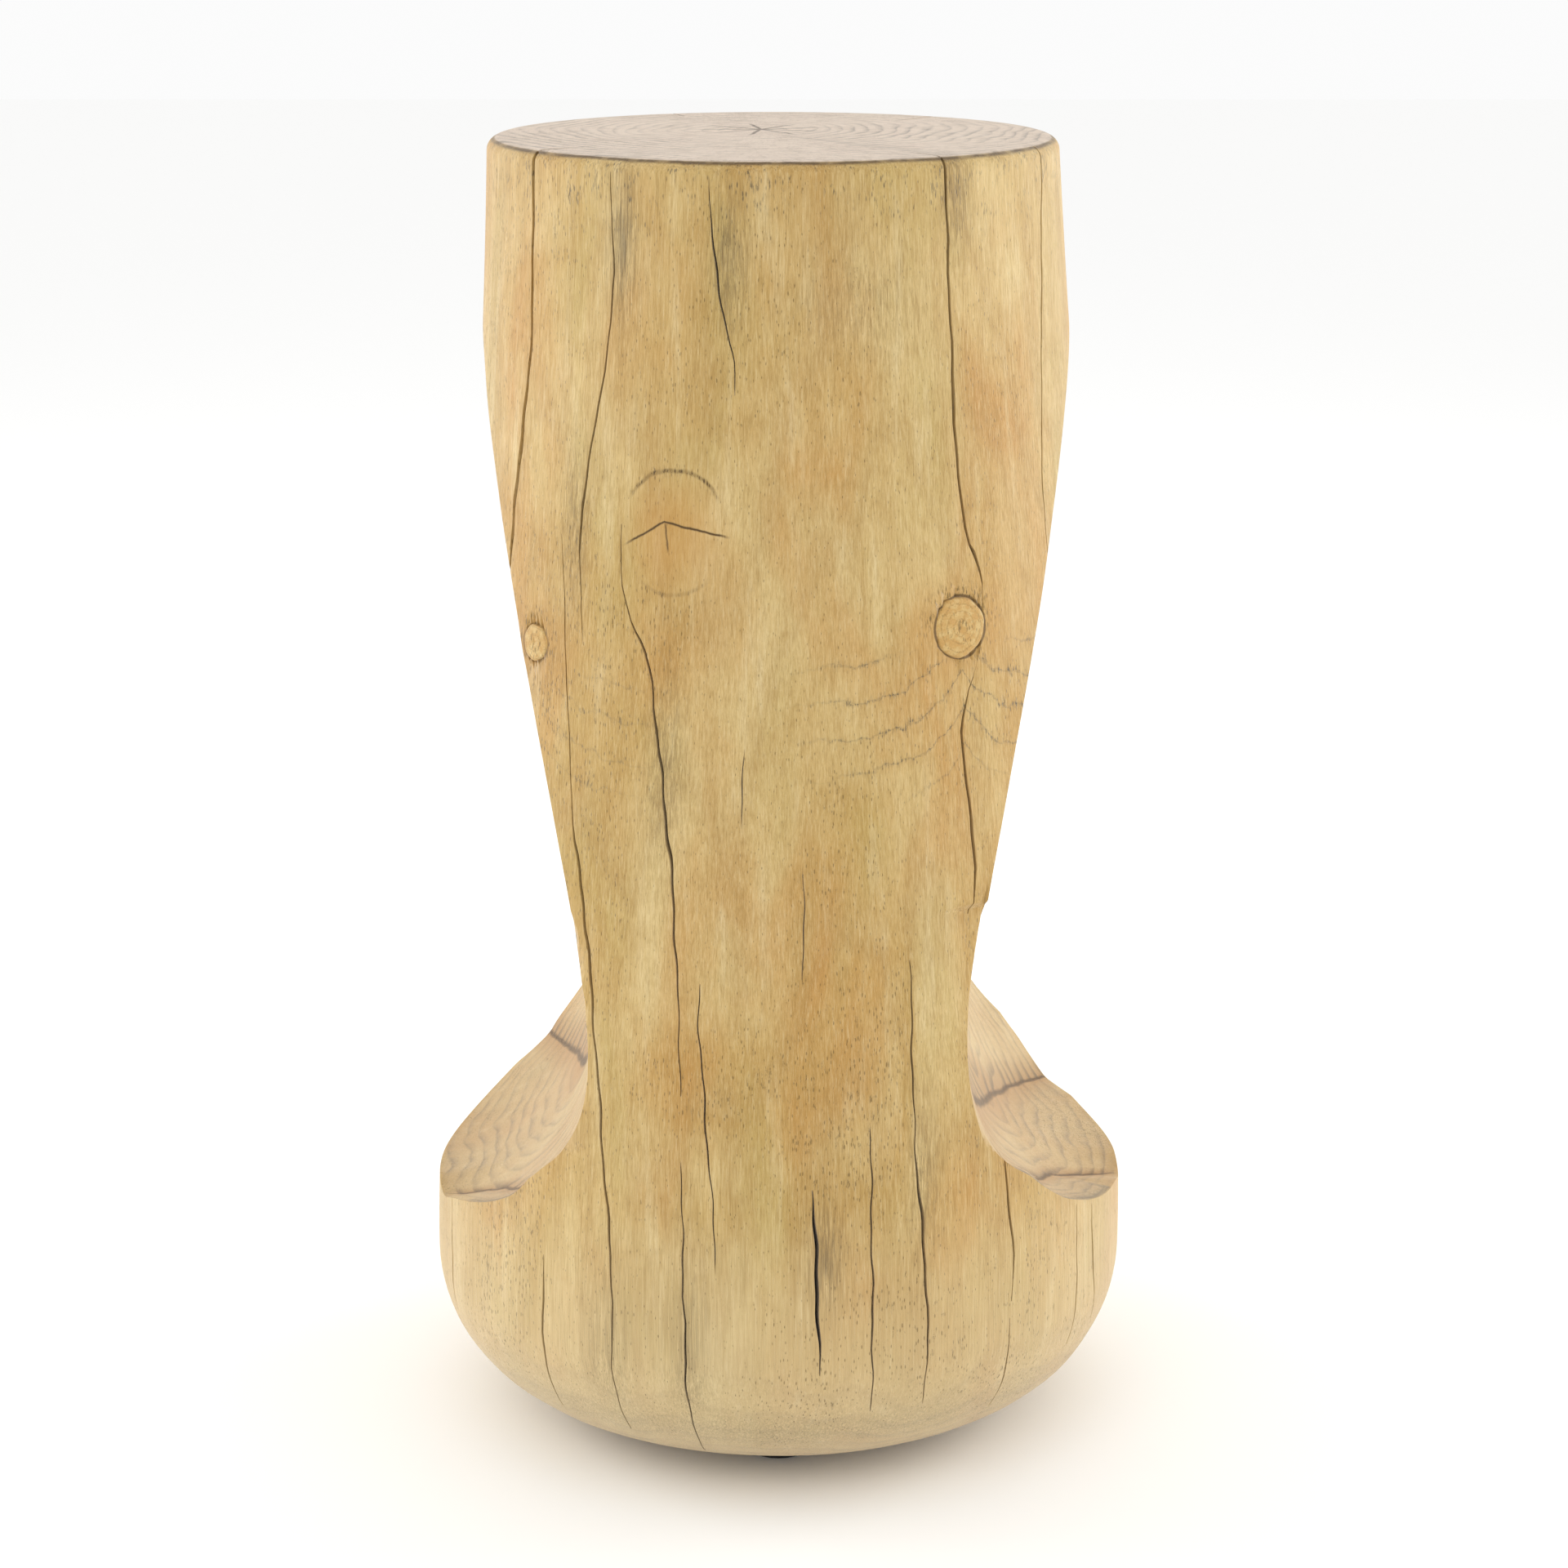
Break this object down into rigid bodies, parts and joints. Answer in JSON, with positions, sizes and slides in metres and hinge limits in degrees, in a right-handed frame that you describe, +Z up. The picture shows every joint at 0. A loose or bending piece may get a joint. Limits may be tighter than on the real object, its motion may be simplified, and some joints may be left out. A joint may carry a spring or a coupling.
{
  "type": "carved log pedestal",
  "caption": "Free-standing pedestal carved from a whole log, scooped in on both sides to a narrow waist above a rounded foot, on screwed-on rubber feet.",
  "frame": {"origin": "on the floor, under the middle of the log", "axes": "+Z up along the log; the two scoops face -X and +X; the face with the large loose knot looks along -Y"},
  "size_m": [0.2492, 0.2492, 0.457],
  "materials": {
    "log_wood": "bare carved softwood with a matte oil, grime in the checks and hollows",
    "knot_wood": "darker knot wood, matte",
    "foot_rubber": "moulded black rubber, matte",
    "fixing_steel": "bright zinc-plated steel"
  },
  "bodies": {
    "root": {"carved_log": "log_wood", "ring_knot": "knot_wood", "pin_knot": "knot_wood", "foot_pad_front": "foot_rubber", "foot_pad_right": "foot_rubber", "foot_pad_back": "foot_rubber", "foot_pad_left": "foot_rubber", "foot_washer_front": "fixing_steel", "foot_washer_right": "fixing_steel", "foot_washer_back": "fixing_steel", "foot_washer_left": "fixing_steel", "foot_screw_front": "fixing_steel", "foot_screw_right": "fixing_steel", "foot_screw_back": "fixing_steel", "foot_screw_left": "fixing_steel"}
  },
  "joints": []
}
